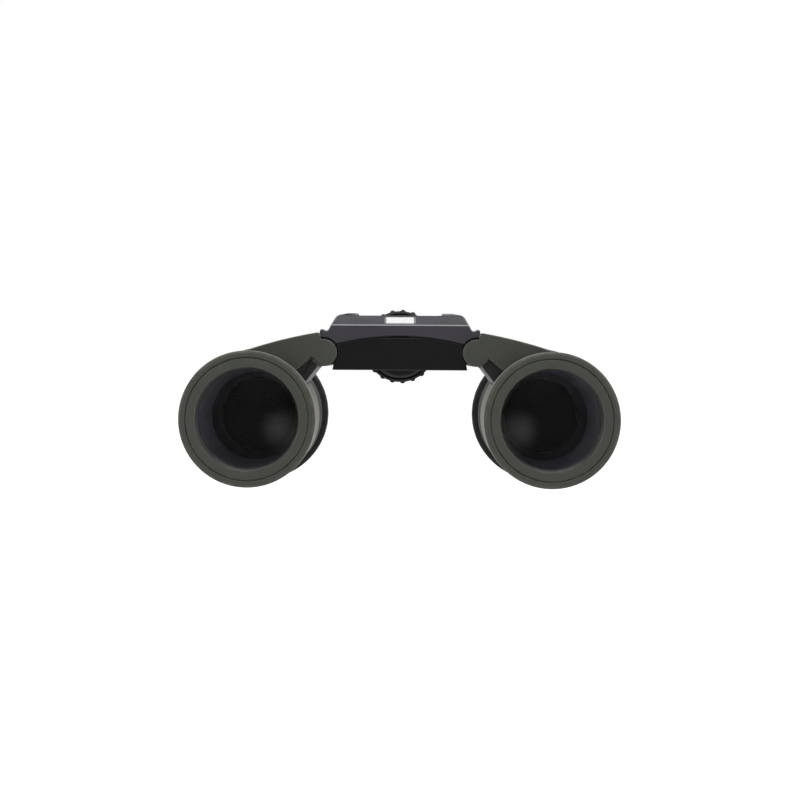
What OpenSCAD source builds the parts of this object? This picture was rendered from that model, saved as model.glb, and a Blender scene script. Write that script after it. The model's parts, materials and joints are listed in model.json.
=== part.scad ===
// Compact double-hinge roof prism binoculars, 25 mm objectives.
// X runs across the two barrels, Y from the objectives to the eyepieces, Z up.
// The origin is the middle of the box's bottom. The user's left barrel is on +X.

/* [Overall] */
// Length from the front bumpers to the lowered eyecups
body_len = 104; // [104:0.5:106]
// Distance between the barrel axes, fully unfolded
ipd = 75; // [74.5:0.1:75.5]
// Distance between the two hinge axes
hinge_gap = 38; // [37.8:0.1:38.2]
// Height of the hinge axes above the barrel axes
hinge_rise = 16.45; // [16.3:0.05:16.6]

/* [Barrel] */
// Clear diameter of the objective lens
objective_d = 25; // [24:0.1:25]
// Radius of the front bumper
bumper_r = 16.85; // [16.6:0.05:17]
// Radius of the rubber armour
armour_r = 16.4; // [16.2:0.05:16.5]
// Thickness of the rubber armour
armour_t = 1.2; // [1:0.1:1.3]
// Wall of the barrel casting
tube_wall = 1.3; // [1.2:0.1:1.3]
// Radius of the ribbed ring at the eyepiece end
ring_r = 17.85; // [17.6:0.05:17.9]

/* [Bridge] */
// Radius of the hinge knuckles
knuckle_r = 3.4; // [3.3:0.05:3.5]
// Gap between a knuckle and the bridge round it
knuckle_gap = 0.35; // [0.3:0.05:0.4]
// Height of the bridge's flat top above the hinge axes
bridge_top = 9.65; // [9.5:0.05:9.8]
// Depth of the bridge's bottom below the hinge axes
bridge_drop = 4.3; // [4.2:0.05:4.4]

/* [Focus] */
// Radius of the focus wheel without its ribs
wheel_r = 9.25; // [9:0.05:9.3]
// Ribs round the focus wheel
wheel_ribs = 21; // [16:1:26]
// Height of the wheel's axis above the hinge axes
wheel_rise = 1.7; // [1.6:0.05:1.8]

/* [Hidden] */
$fn = 96;
eps = 0.02;
fit = 0.05;            // running clearance
front_y = -body_len / 2;
barrel_x = ipd / 2;
barrel_z = ring_r;
hinge_x = hinge_gap / 2;
hinge_z = barrel_z + hinge_rise;
wheel_z = hinge_z + wheel_rise;
tube_r = armour_r - armour_t;
bore_r = tube_r - tube_wall;
lens_r = objective_d / 2 + 0.55;
gap_r = knuckle_r + knuckle_gap;
pin_r = 2;             // hinge tube

// Depths behind the front face
bezel_d = 1.2;         // front bezel
hood_d = 8;            // recess in front of the lens
bumper_d = 9;          // bumper, then armour
casting_d = [2.2, 84]; // barrel casting
arm_d = [9, 54];       // hinge arm
front_knuckle = [10.5, 20];
mid_knuckle = [20.3, 32.7];
window_d = [33, 47];   // where the focus linkage crosses the hinge
rear_knuckle = [47.2, 52.5];
end_knuckle = [54.3, 62];
rear_grip_d = [54, 82.2];   // black grip sleeve
ring_d = [82.4, 92];
cup_d = 92.4;          // eyecup rubber, lowered
bridge_d = [10, 63];
wheel_d = [46, 60];

// Arm outline, counted from the hinge axis, seen from the front
arm_to_barrel = [barrel_x - hinge_x, -hinge_rise];
arm_angle = atan2(arm_to_barrel[1], arm_to_barrel[0]);
arm_start = [1.2, 5.05];
arm_mid = [10.3, 3.15];
arm_end = [23.9, -1.2];
arm_under = [[1.5, -3.5], [5.5, -8.7]];
web_back = 2.2;        // the casting's web stands this far behind the front cap

function arc(c, r, a1, a2, n) =
    [for (i = [0:n]) let (a = a1 + (a2 - a1) * i / n) [c[0] + r * cos(a), c[1] + r * sin(a)]];

function reversed(list) = [for (i = [len(list) - 1:-1:0]) list[i]];

// Centre of the circle through three points
function circle_centre(a, b, c) =
    let (d = 2 * (a[0] * (b[1] - c[1]) + b[0] * (c[1] - a[1]) + c[0] * (a[1] - b[1])),
         a2 = a * a, b2 = b * b, c2 = c * c)
    [(a2 * (b[1] - c[1]) + b2 * (c[1] - a[1]) + c2 * (a[1] - b[1])) / d,
     (a2 * (c[0] - b[0]) + b2 * (a[0] - c[0]) + c2 * (b[0] - a[0])) / d];

// The arm's top is one large arc; inset shrinks it for the casting under the armour
function arm_top(inset) =
    let (c = circle_centre(arm_start, arm_mid, arm_end),
         r = norm(arm_start - c) - inset,
         a1 = atan2(arm_start[1] - c[1], arm_start[0] - c[0]),
         a2 = atan2(arm_end[1] - c[1], arm_end[0] - c[0]))
    arc(c, r, a1, a2, 24);

/* Frames: parts are drawn for +X and mirrored for the right barrel */
module on_side(side) {
    mirror([side == "left" ? 0 : 1, 0, 0]) children();
}

// Local z is the depth behind the front face, on the barrel axis
module on_barrel() {
    translate([barrel_x, front_y, barrel_z]) rotate([-90, 0, 0]) children();
}

module on_hinge() {
    translate([hinge_x, front_y, hinge_z]) rotate([-90, 0, 0]) children();
}

module on_wheel() {
    translate([0, front_y, wheel_z]) rotate([-90, 0, 0]) children();
}

// A 2D shape in (x, z) drawn from depth d[0] to depth d[1]
module slab(d, at = [0, 0]) {
    translate([at[0], front_y + d[1], at[1]]) rotate([90, 0, 0]) linear_extrude(d[1] - d[0]) children();
}

module ring(d, r_out, r_in) {
    translate([0, 0, d[0]]) difference() {
        cylinder(h = d[1] - d[0], r = r_out);
        translate([0, 0, -1]) cylinder(h = d[1] - d[0] + 2, r = r_in);
    }
}

module rod(d, r) {
    translate([0, 0, d[0]]) cylinder(h = d[1] - d[0], r = r);
}

module lathe(points) {
    rotate_extrude() polygon(points);
}

/* Barrel outlines, seen from the front */
module arm_outline(inset) {
    top = arm_top(inset);
    end_face = [[0.75, knuckle_r + 0.1], [0.9, 2], [1.5, -2.8]];
    tail = [top[24][0], top[24][1] - 4];
    translate([hinge_x, hinge_z])
        polygon(concat(end_face, arm_under, [arm_to_barrel], [tail], reversed(top)));
}

module knuckle_disc(r) {
    translate([hinge_x, hinge_z]) circle(r = r);
}

module barrel_disc(r) {
    translate([barrel_x, barrel_z]) circle(r = r);
}

// The casting's arm shows as a plain web under the front cap, below this line
module web_corner() {
    translate([hinge_x, hinge_z])
        polygon([[3.15, -1.35], [6.2, -3.85], [13.8, -9.5], [6, -14], [1, -5], [1, -3]]);
}

/* Barrel */
module front_bumper() {
    seam = 0.1;
    color("darkolivegreen") on_barrel() lathe(concat(
        [[tube_r, bumper_d - 0.1], [tube_r, casting_d[0]], [tube_r - seam, casting_d[0] - 0.2]],
        [[tube_r - seam, 0.35], [tube_r, 0.12]],
        [[tube_r + 0.2, 0], [bumper_r - 1, 0]],
        arc([bumper_r - 1, 1], 1, -80, 0, 8),
        [[bumper_r, bumper_d - 0.4], [bumper_r - 0.3, bumper_d - 0.1]]));
}

module objective_bezel() {
    mouth_r = objective_d / 2 + 0.25;
    color("darkolivegreen") on_barrel() lathe([
        [mouth_r, 0.25], [mouth_r + 0.25, 0], [tube_r - 0.45, 0], [tube_r - 0.25, 0.15],
        [tube_r - 0.25, casting_d[0] - eps], [bore_r + 0.1, casting_d[0] - eps],
        [bore_r + 0.1, bezel_d], [mouth_r, bezel_d]]);
}

module objective_hood() {
    color("black") on_barrel() ring([bezel_d, hood_d], bore_r - fit, objective_d / 2 + 0.2);
}

module objective_retainer() {
    color("dimgray") on_barrel() lathe([
        [bore_r - fit, hood_d], [bore_r - fit, hood_d + 1.8], [objective_d / 2 - 0.2, hood_d + 1.8],
        [objective_d / 2 - 0.2, hood_d + 0.9], [objective_d / 2 + 0.15, hood_d]]);
}

// Depth that a sphere's cap sinks between its pole and radius r
function sag(r, big) = big - sqrt(big * big - r * r);

// Half profile of a lens face: depth at the rim, sphere radius (positive bulges backwards)
function lens_face(rim_r, rim_d, big, n = 10) =
    [for (i = [0:n]) let (r = rim_r * i / n, drop = sag(rim_r, abs(big)) - sag(r, abs(big)))
        [r, rim_d + sign(big) * drop]];

module lens(rim_r, front_d, front_big, back_d, back_big) {
    color("lightcyan", 0.4) on_barrel()
        lathe(concat(
            lens_face(rim_r, front_d, front_big),
            reversed(lens_face(rim_r, back_d, back_big))));
}

crown_d = [10.2, 11.8];      // rim of the crown lens
flint_d = [11.84, 15.7];     // rim of the flint lens
cement_r = 40;

module objective_cell() {
    color("black") on_barrel() lathe([
        [bore_r - fit, hood_d + 1.8], [bore_r - fit, 19], [objective_d / 2 - 0.3, 19],
        [objective_d / 2 - 0.3, flint_d[1] + 0.1],
        [lens_r + fit, flint_d[1] + 0.1], [lens_r + fit, hood_d + 1.8]]);
}

module objective_lenses() {
    lens(lens_r, crown_d[0], -55, crown_d[1], cement_r);
    lens(lens_r, flint_d[0], cement_r, flint_d[1], 400);
}

// Plain cone that keeps stray light off the prisms
baffle_d = [19.1, 38.4];
throat_r = 8.2;

module light_baffle() {
    flange = 1;
    wall = 0.9;
    mouth_r = objective_d / 2 - 0.4;
    color("black") on_barrel() lathe([
        [mouth_r, baffle_d[0]], [throat_r, baffle_d[1]], [bore_r - fit, baffle_d[1]],
        [bore_r - fit, baffle_d[1] - flange], [throat_r + wall, baffle_d[1] - flange],
        [mouth_r + wall, baffle_d[0] + flange], [bore_r - fit, baffle_d[0] + flange],
        [bore_r - fit, baffle_d[0]]]);
}

module barrel_casting() {
    color("black") difference() {
        union() {
            slab([front_knuckle[0], rear_knuckle[1]]) difference() {
                arm_outline(armour_t);
                knuckle_disc(gap_r);
            }
            slab(front_knuckle) knuckle_disc(knuckle_r);
            slab(rear_knuckle) knuckle_disc(knuckle_r);
            slab(front_knuckle) arm_root();
            slab(rear_knuckle) arm_root();
            on_barrel() rod(casting_d, tube_r);
        }
        on_barrel() rod([0, 90], bore_r);
        on_hinge() rod([5, 60], pin_r + fit);
        // The web stands back from the front cap
        slab([front_knuckle[0] - 1, front_knuckle[0] + web_back]) difference() {
            web_corner();
            knuckle_disc(knuckle_r);
            barrel_disc(tube_r);
        }
        focus_channel();
    }
}

// Fills the gap ring between a knuckle and its own arm
module arm_root() {
    intersection() {
        arm_outline(armour_t);
        knuckle_disc(gap_r + 0.5);
    }
}

// Passage for the focus arm from the hinge axis into the barrel
module focus_channel() {
    translate([hinge_x, front_y, hinge_z]) rotate([0, -arm_angle, 0])
        translate([2, 39.8, -1.2]) cube([norm(arm_to_barrel) - 8, 6.3, 2.4]);
}

module front_armour(side) {
    color("darkolivegreen") difference() {
        union() {
            on_barrel() rod([bumper_d, arm_d[1]], armour_r);
            slab(arm_d) difference() {
                arm_outline(0);
                knuckle_disc(gap_r);
            }
            slab([arm_d[0], front_knuckle[0]]) knuckle_disc(knuckle_r);
            slab([arm_d[0], front_knuckle[0]]) arm_root();
        }
        // The casting it is moulded over
        on_barrel() rod([0, 90], tube_r);
        slab([front_knuckle[0], rear_knuckle[1]]) arm_outline(armour_t);
        slab([front_knuckle[0], rear_knuckle[1]]) knuckle_disc(gap_r);
        slab([0, front_knuckle[0] + eps]) difference() {
            web_corner();
            knuckle_disc(knuckle_r);
            barrel_disc(armour_r);
        }
        if (side == "left") plug_body(eps);
    }
}

module rear_armour() {
    grooves = 5;
    groove_w = 0.9;
    groove_h = 0.35;
    pitch = 3.2;
    start = rear_grip_d[0] + 4;
    color([0.16, 0.16, 0.16]) on_barrel() difference() {
        rod([rear_grip_d[0] + eps, rear_grip_d[1]], armour_r);
        rod([0, 90], tube_r);
        for (d = [start:pitch:start + pitch * (grooves - 1)])
            ring([d, d + groove_w], armour_r + 1, armour_r - groove_h);
        translate([lug_reach - 10, -lug_half - eps, lug_d[0] - eps])
            cube([12, 2 * (lug_half + eps), lug_d[1] - lug_d[0] + 2 * eps]);
    }
}

/* Strap lug on the outer side */
lug_d = [72, 79];
lug_half = 1.5;
lug_reach = 20.8;
lug_hole_r = 1.5;
lug_hole_x = lug_reach - 2.45;
lug_mid = (lug_d[0] + lug_d[1]) / 2;

module strap_lug() {
    round_r = 7;
    color("black") on_barrel() difference() {
        intersection() {
            translate([tube_r - 0.4, -lug_half, lug_d[0]])
                cube([lug_reach - tube_r + 0.4, 2 * lug_half, lug_d[1] - lug_d[0]]);
            translate([lug_reach - round_r, 0, lug_mid]) rotate([90, 0, 0])
                cylinder(h = 4 * lug_half, r = round_r, center = true);
        }
        rod([0, 90], tube_r);
        translate([lug_hole_x, 0, lug_mid]) rotate([90, 0, 0])
            cylinder(h = 10, r = lug_hole_r, center = true);
    }
}

/* Inspection plug in the left armour, below the arm */
plug_turn = 25;       // degrees above the horizontal, on the inner side
plug_d = [44, 53];
plug_half = 1.45;

module plug_body(grow) {
    on_barrel() rotate([0, 0, 180 + plug_turn])
        translate([tube_r - 1, -plug_half - grow, plug_d[0] - grow])
            cube([2.1, 2 * (plug_half + grow), plug_d[1] - plug_d[0] + 2 * grow]);
}

module inspection_plug() {
    color("black") difference() {
        plug_body(0);
        on_barrel() rod([0, 90], tube_r);
    }
}

/* Focusing lens, carried on a rod through the hinge */
rod_r = 1.15;
collar_r = 2.4;
collar_t = 1.6;
yoke_d = [37, 40];
hub_d = [41.7, 44.2];
focus_lens_r = 9.4;
focus_ring_d = [40.5, 45.4];

module focus_rod() {
    color("silver") on_hinge() {
        rod([21, 60], rod_r);
        ring([yoke_d[0] - 0.1 - collar_t, yoke_d[0] - 0.1], collar_r, rod_r - eps);
        ring([yoke_d[1] + 0.1, yoke_d[1] + 0.1 + collar_t], collar_r, rod_r - eps);
    }
}

module focus_arm() {
    reach = norm(arm_to_barrel) - 10.5;
    color("black") difference() {
        union() {
            on_hinge() rod(hub_d, 2.9);
            translate([hinge_x, front_y, hinge_z]) rotate([0, -arm_angle, 0])
                translate([0, hub_d[0] + 0.3, -0.8]) cube([reach, hub_d[1] - hub_d[0] - 0.6, 1.6]);
            on_barrel() ring(focus_ring_d, bore_r - 0.3, focus_lens_r);
        }
        on_hinge() rod([0, 70], rod_r);
        on_barrel() rod([0, 70], focus_lens_r);
    }
}

module focus_lens() {
    lens(focus_lens_r - eps, 41, 45, 44.9, -60);
}

/* Prisms */
prism_d = 50;
prism_half = 7.2;

module prism_cage() {
    color("dimgray") on_barrel() difference() {
        union() {
            rod([prism_d - 1.8, prism_d - 0.1], bore_r - fit);
            rod([prism_d + 20.2, prism_d + 22], bore_r - fit);
            for (a = [0:180:180]) rotate([0, 0, a])
                translate([prism_half + 0.1, -6, prism_d - 0.2]) cube([1.6, 12, 20.6]);
        }
        rod([40, 80], 6.8);
    }
}

module side_prism(points) {
    color("lightcyan", 0.4) on_barrel() translate([-prism_half, 0, prism_d]) rotate([90, 0, 90])
        linear_extrude(2 * prism_half) polygon(points);
}

module penta_prism() {
    side_prism([[-8, 0], [8, 0], [8, 3.4], [-4.6, 16], [-8, 12.6]]);
}

module schmidt_prism() {
    side_prism([[8, 4], [8, 20.1], [-7.6, 20.1], [-7.6, 19.6]]);
}

/* Eyepiece */
tube_end = 98.5;
ocular_r = 12.6;
sleeve_r = 15;

module ocular_tube() {
    color("black") on_barrel() lathe([
        [11.3, 74], [11.3, tube_end], [ocular_r - 0.3, tube_end], [ocular_r, tube_end - 0.3],
        [ocular_r, 84], [bore_r - fit, 84], [bore_r - fit, 74]]);
}

module eyepiece_cell() {
    color("black") on_barrel() lathe([
        [11.3 - fit, 77], [11.3 - fit, tube_end - 0.8], [8.2, tube_end - 0.8], [8.2, 97], [9.1, 97],
        [9.1, 89.5], [8.4, 89], [8.4, 84.5], [9.9, 84.5], [9.9, 79.5], [8.6, 79], [8.6, 77]]);
}

module eyepiece_lenses() {
    lens(9.9 - eps, 79.6, 400, 82.5, 30);
    lens(9.1 - eps, 92.5, -20, 94.5, 24);
}

/* Ribbed ring: turns on the right barrel to set the dioptre, fixed on the left */
module ocular_ring() {
    ribs = 36;
    rib_gap_r = 0.8;
    color("black") on_barrel() difference() {
        lathe(concat(
            [[tube_r + fit, ring_d[0] + 0.3], [tube_r + 0.3, ring_d[0]], [ring_r - 0.9, ring_d[0]]],
            arc([ring_r - 0.9, ring_d[0] + 0.9], 0.9, -75, 0, 6),
            arc([ring_r - 1.2, ring_d[1] - 1.2], 1.2, 0, 75, 6),
            [[sleeve_r + 0.6, ring_d[1]], [sleeve_r + 0.3, ring_d[1] - 0.3], [sleeve_r + 0.3, 86],
             [ocular_r + fit, 86], [ocular_r + fit, 84.2], [tube_r + fit, 84.2]]));
        for (i = [0:ribs - 1]) rotate([0, 0, 360 / ribs * (i + 0.5)])
            translate([ring_r + 0.5, 0, ring_d[0] + 1.6])
                cylinder(h = ring_d[1] - ring_d[0] - 3.2, r = rib_gap_r, $fn = 24);
    }
}

/* Twist-up eyecup */
sleeve_d = [86.3, 101.5];
guide_d = [86.8, 88.8];
cup_mouth_r = 10.4;
cup_r = 16.1;

module eyecup_guide() {
    color("silver") on_barrel() ring(guide_d, 14.2, ocular_r + 0.05);
}

module eyecup_sleeve() {
    inner = ocular_r + 0.3;
    groove_r = 14.3;
    color("black") on_barrel() lathe([
        [inner, sleeve_d[0]], [sleeve_r, sleeve_d[0]], [sleeve_r, sleeve_d[1]],
        [cup_mouth_r + 0.4, sleeve_d[1]],
        [cup_mouth_r + 0.4, 100], [inner, 99.6],
        [inner, guide_d[1] + 0.1], [groove_r, guide_d[1] + 0.1],
        [groove_r, guide_d[0] - 0.1], [inner, guide_d[0] - 0.1]]);
}

module eyecup_rubber() {
    rim = [cup_mouth_r + 1.2, body_len - 1.2];
    color("black") on_barrel() lathe(concat(
        [[sleeve_r, cup_d], [cup_r - 0.3, cup_d], [cup_r, cup_d + 0.3]],
        arc([cup_r - 1.6, body_len - 1.6], 1.6, 0, 90, 8),
        [[rim[0], body_len]],
        arc(rim, 1.2, 90, 180, 6),
        [[cup_mouth_r, sleeve_d[1] + eps], [sleeve_r, sleeve_d[1] + eps]]));
}

/* Hinge */
module both_sides() {
    for (s = [0, 1]) mirror([s, 0, 0]) children();
}

module hinge_tubes() {
    color("silver") both_sides() on_hinge() {
        ring([front_knuckle[0] + 0.5, mid_knuckle[1]], pin_r, rod_r + fit);
        ring([rear_knuckle[0] + 0.1, end_knuckle[1]], pin_r, rod_r + fit);
    }
}

module friction_washers() {
    color("goldenrod") both_sides() on_hinge() {
        ring([front_knuckle[1] + eps, mid_knuckle[0] - eps], 3.2, pin_r + fit);
        ring([end_knuckle[0] - 1.6, end_knuckle[0] - eps], 3.2, pin_r + fit);
    }
}

/* Bridge */
module half_outline(points) {
    translate([0, hinge_z]) polygon(concat(points, reversed([for (p = points) [-p[0], p[1]]])));
}

floor_t = 1;           // bottom cover
plate_back = 11.5;     // back of the front plate
hinge_arc = arc([hinge_x, 0], gap_r, 228, 82, 18);
corner = [16.75, -bridge_drop];
lip = [[20.0, 5.15], [19.7, 5.85], [19.2, 5.9], [18.3, 5.4], [17.7, 5.8]];

module frame_outline() {
    half_outline(concat(
        [[16.2, floor_t - bridge_drop]],
        arc([hinge_x, 0], gap_r, 225, 140, 12),
        [[15.2, 4.6], [14.4, 5.6]]));
}

module bridge_frame() {
    web_x = [6.2, 15];
    color("black") difference() {
        union() {
            slab([plate_back, window_d[0]]) frame_outline();
            slab([window_d[1] - 2.2, bridge_d[1] - 0.5]) frame_outline();
            both_sides() {
                for (z = [[3.2, 5.6], [floor_t - bridge_drop, 2.1 - bridge_drop]])
                    slab([window_d[0] - 1, window_d[1] - 2]) frame_web(web_x, z);
                for (d = [mid_knuckle, end_knuckle]) {
                    slab(d) knuckle_disc(knuckle_r);
                    slab(d) frame_web([hinge_x - 4.4, hinge_x + 0.4], [-2.2, 2.2]);
                }
            }
        }
        both_sides() on_hinge() rod([0, 70], pin_r);
        on_wheel() rod([0, 24], bush_r);
        on_wheel() rod([12, 70], spindle_r + 0.15);
        on_wheel() rod([60.5, 70], bush_r);
        wheel_window();
    }
}

module frame_web(x, z) {
    translate([x[0], hinge_z + z[0]]) square([x[1] - x[0], z[1] - z[0]]);
}

module wheel_window() {
    half = 10.3;
    slab([wheel_d[0] - 0.6, wheel_d[1] + 0.6]) translate([-half, 0]) square([2 * half, 70]);
}

arch_end = [15.9, 2.05];
arch_rise = 2.05;
module arch_line(up) {
    c = circle_centre([-arch_end[0], arch_end[1]], [0, arch_end[1] + arch_rise], arch_end);
    translate([c[0], c[1] + hinge_z]) circle(r = norm(arch_end - c) + up, $fn = 360);
}

module front_plate() {
    color([0.12, 0.12, 0.12]) slab([bridge_d[0], plate_back]) intersection() {
        half_outline(concat([corner], hinge_arc));
        arch_line(-0.1);
    }
}

module top_face() {
    half_outline(concat([[15.5, 1.7]], hinge_arc, lip,
        [[16.5, 8.4], [16.1, 9.05], [15.5, 9.45], [14.9, bridge_top]]));
}

slope_d = [9.6, 21];
slope_rise = 6.95;
rail_x = 10.6;
rail_rise = 0.27;
module top_cover() {
    color([0.26, 0.25, 0.28]) difference() {
        union() {
            // Front face above the arch
            slab([9.6, plate_back]) difference() {
                top_face();
                arch_line(0.1);
            }
            slab([plate_back - eps, bridge_d[1]]) difference() {
                top_face();
                translate([-30, hinge_z - 10]) square([60, 15.62]);
            }
            both_sides() slab([plate_back - eps, bridge_d[1]]) difference() {
                intersection() {
                    top_face();
                    translate([15.25, hinge_z + 3]) square([10, 3]);
                }
                frame_outline();
            }
        }
        // Sloping top at the front
        translate([-30, front_y, hinge_z]) rotate([90, 0, 90]) linear_extrude(60) polygon([
            [slope_d[0] - 1, slope_rise], [slope_d[0], slope_rise], [slope_d[1], bridge_top - 0.02],
            [slope_d[1], bridge_top + 2], [slope_d[0] - 1, bridge_top + 2]]);
        // The middle lies a little lower than the two side rails
        slab([0, 70]) translate([-rail_x, hinge_z + bridge_top - rail_rise]) square([2 * rail_x, 5]);
        wheel_window();
        nameplate_body(fit);
    }
}

module nameplate_body(grow) {
    run = slope_d[1] - slope_d[0];
    rise = bridge_top - slope_rise;
    label = [7, 6.4, 0.75];
    along = 0.42;
    translate([0, front_y + slope_d[0] + run * along, hinge_z + slope_rise + rise * along])
        rotate([atan2(rise, run), 0, 0]) translate([-label[0] / 2 - grow, -label[1] / 2 - grow, -0.6])
            cube([label[0] + 2 * grow, label[1] + 2 * grow, label[2] + grow]);
}

module nameplate() {
    color("white") nameplate_body(0);
}

screw_r = 1.1;

module at_screws() {
    for (x = [-12.5, 12.5], d = [15, 42]) translate([x, front_y + d, 0]) children();
}

module bottom_cover() {
    color([0.12, 0.12, 0.12]) difference() {
        slab([plate_back + eps, bridge_d[1]])
            half_outline([[16.7, -bridge_drop], [16.1, floor_t - bridge_drop - eps]]);
        wheel_window();
        at_screws() cylinder(h = hinge_z, r = screw_r);
    }
}

module cover_screws() {
    color("dimgray") at_screws() translate([0, 0, hinge_z - bridge_drop]) difference() {
        cylinder(h = 1 - 2 * eps, r = screw_r - fit);
        for (a = [0, 90]) rotate([0, 0, a]) translate([-0.7, -0.15, -1]) cube([1.4, 0.3, 1.5]);
    }
}

/* Focus drive */
spindle_r = 2.45;
spindle_d = [15.5, 62.3];
spindle_bore_r = 2.5;
bush_r = 3.2;

module spindle_bush() {
    color("goldenrod") on_wheel() {
        ring([16, 24 - eps], bush_r - eps, spindle_bore_r);
        ring([60.6, 62.4], bush_r - eps, spindle_bore_r);
    }
}

module focus_spindle() {
    threads = 14;
    pitch = 0.8;
    thread_start = 33;
    color("silver") on_wheel() {
        lathe(concat([[0, spindle_d[0]], [spindle_r, spindle_d[0]]],
            [for (i = [0:threads - 1]) each [
                [spindle_r, thread_start + pitch * i],
                [spindle_r - 0.35, thread_start + pitch * (i + 0.5)]]],
            [[spindle_r, thread_start + pitch * threads], [spindle_r, spindle_d[1]], [0, spindle_d[1]]]));
    }
}

module focus_yoke() {
    color("silver") difference() {
        union() {
            on_wheel() rod(yoke_d, 3.7);
            slab(yoke_d) translate([-hinge_x, hinge_z - 1.4]) square([hinge_gap, 2.8]);
            both_sides() on_hinge() rod(yoke_d, 3);
        }
        on_wheel() rod([30, 50], spindle_bore_r);
        both_sides() on_hinge() rod([30, 50], rod_r + fit);
    }
}

rim_r = 8.3;

// Half a wheel profile, repeated for the other face
module wheel_lathe(half) {
    mid = wheel_d[0] + wheel_d[1];
    lathe(concat(half, reversed([for (p = half) [p[0], mid - p[1]]])));
}

module wheel_core() {
    d = wheel_d[0];
    color("dimgray") on_wheel() wheel_lathe([
        [spindle_r, d + 1.5], [3.6, d + 1.5], [4.2, d + 1.2],
        [7.4, d + 0.4], [8, d + 0.2], [rim_r, d + 0.5]]);
}

module wheel_grip() {
    d = wheel_d[0];
    rib_r = 0.75;
    rib_end = 0.9;
    color("black") on_wheel() difference() {
        union() {
            wheel_lathe([[rim_r - 0.2, d + 0.5], [8.6, d], [wheel_r - 0.5, d], [wheel_r, d + 0.7]]);
            for (i = [0:wheel_ribs - 1]) rotate([0, 0, 360 / wheel_ribs * i])
                translate([wheel_r - rib_r + 0.4, 0, d + rib_end])
                    cylinder(h = wheel_d[1] - d - 2 * rib_end, r = rib_r, $fn = 24);
        }
        rod([40, 70], rim_r);
    }
}

bridge_frame();
front_plate();  // bridge_front_plate
top_cover();  // bridge_top_cover
bottom_cover();  // bridge_bottom_cover
nameplate();
cover_screws();
hinge_tubes();
friction_washers();
spindle_bush();  // spindle_bushes
focus_spindle();
focus_yoke();
wheel_core();  // focus_wheel_core
wheel_grip();  // focus_wheel_grip
on_side("left") inspection_plug();  // left_inspection_plug
on_side("left") ocular_ring();  // left_ocular_ring
on_side("right") ocular_ring();  // right_dioptre_ring
for (side = ["left", "right"]) on_side(side) {
    front_bumper();
    objective_bezel();
    objective_hood();
    objective_retainer();
    objective_cell();
    objective_lenses();
    light_baffle();
    barrel_casting();
    front_armour(side);
    rear_armour();
    strap_lug();
    focus_rod();
    focus_arm();
    focus_lens();
    prism_cage();
    union() {
        penta_prism();
        schmidt_prism();
    }
    ocular_tube();
    eyepiece_cell();
    eyepiece_lenses();
    eyecup_guide();
    eyecup_sleeve();
    eyecup_rubber();
}
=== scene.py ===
import json
import math

import bmesh
import bpy
import numpy as np
from mathutils import Matrix, Vector


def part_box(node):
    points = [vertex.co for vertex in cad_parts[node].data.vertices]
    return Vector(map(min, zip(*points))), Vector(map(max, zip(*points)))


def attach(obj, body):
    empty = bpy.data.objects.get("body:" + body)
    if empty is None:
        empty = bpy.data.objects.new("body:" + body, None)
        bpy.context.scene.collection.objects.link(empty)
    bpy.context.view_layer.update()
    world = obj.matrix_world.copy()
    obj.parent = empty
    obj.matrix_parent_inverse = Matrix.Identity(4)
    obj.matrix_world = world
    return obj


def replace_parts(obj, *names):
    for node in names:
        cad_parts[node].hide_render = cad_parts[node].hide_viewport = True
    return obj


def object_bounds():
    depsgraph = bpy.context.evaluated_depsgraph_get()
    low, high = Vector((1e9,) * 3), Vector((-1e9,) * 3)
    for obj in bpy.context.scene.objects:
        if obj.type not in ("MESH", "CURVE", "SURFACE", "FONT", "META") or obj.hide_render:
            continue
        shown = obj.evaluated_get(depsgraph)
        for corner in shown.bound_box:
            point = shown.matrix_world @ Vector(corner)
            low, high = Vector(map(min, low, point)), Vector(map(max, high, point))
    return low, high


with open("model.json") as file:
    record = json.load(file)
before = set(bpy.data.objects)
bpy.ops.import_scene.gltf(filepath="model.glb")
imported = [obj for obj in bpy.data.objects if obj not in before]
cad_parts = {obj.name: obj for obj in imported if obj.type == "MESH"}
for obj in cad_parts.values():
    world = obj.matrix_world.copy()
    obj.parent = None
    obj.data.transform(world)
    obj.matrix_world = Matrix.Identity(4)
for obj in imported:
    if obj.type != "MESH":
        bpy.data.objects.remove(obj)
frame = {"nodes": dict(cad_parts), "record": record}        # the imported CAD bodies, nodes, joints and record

CAD_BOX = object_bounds()
MM = 0.001
SIDES = ("left", "right")
SEGMENTS = 144            # faces round a turned piece
OWN_MERGE = 0.0005        # two points of a mesh made here that are closer than this, in mm, become one
CAD_MERGE = 0.002         # the same for a mesh that comes from the CAD
FLAT_ANGLE = 0.1          # CAD faces that meet at less than this, in degrees, lie in one plane
SHARP_ANGLE = 42          # shading breaks where faces of a made mesh meet at more than this, in degrees
BEVEL_ANGLE = 28          # CAD edges sharper than this, in degrees, are rounded
EDGE_WEAR_HIGHLIGHT_WIDTH = 0.4          # widest face, in mm, that can be part of a worn edge with its painted highlight
EDGE_WEAR_HIGHLIGHT_FROM, EDGE_WEAR_HIGHLIGHT_TO = 8, 22    # turn of the surface, in degrees, where wear and painted edge highlight start and where they are full

scene = bpy.context.scene
nodes = frame["nodes"]
record = frame["record"]
BODY = {n: body for body, members in record["behaviour"]["bodies"].items() for n in members}
SLOT = {p["node"]: p["material_slot"] for p in record["subparts"]}
FRONT_Y = CAD_BOX[0].y


# ---------------------------------------------------------------- sizes read from the frame

def middle(node):
    lo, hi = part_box(node)
    return (lo + hi) / 2


def radius(node):
    """Outer radius of a turned node, in mm."""
    lo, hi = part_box(node)
    return (hi.z - lo.z) / 2 / MM


def depths(node):
    """Front and back of a node, in mm behind the front face."""
    lo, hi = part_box(node)
    return (lo.y - FRONT_Y) / MM, (hi.y - FRONT_Y) / MM


def smooth_step(low, high, x):
    t = min(max((x - low) / (high - low), 0), 1)
    return t * t * (3 - 2 * t)


# ---------------------------------------------------------------- mesh helpers

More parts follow.
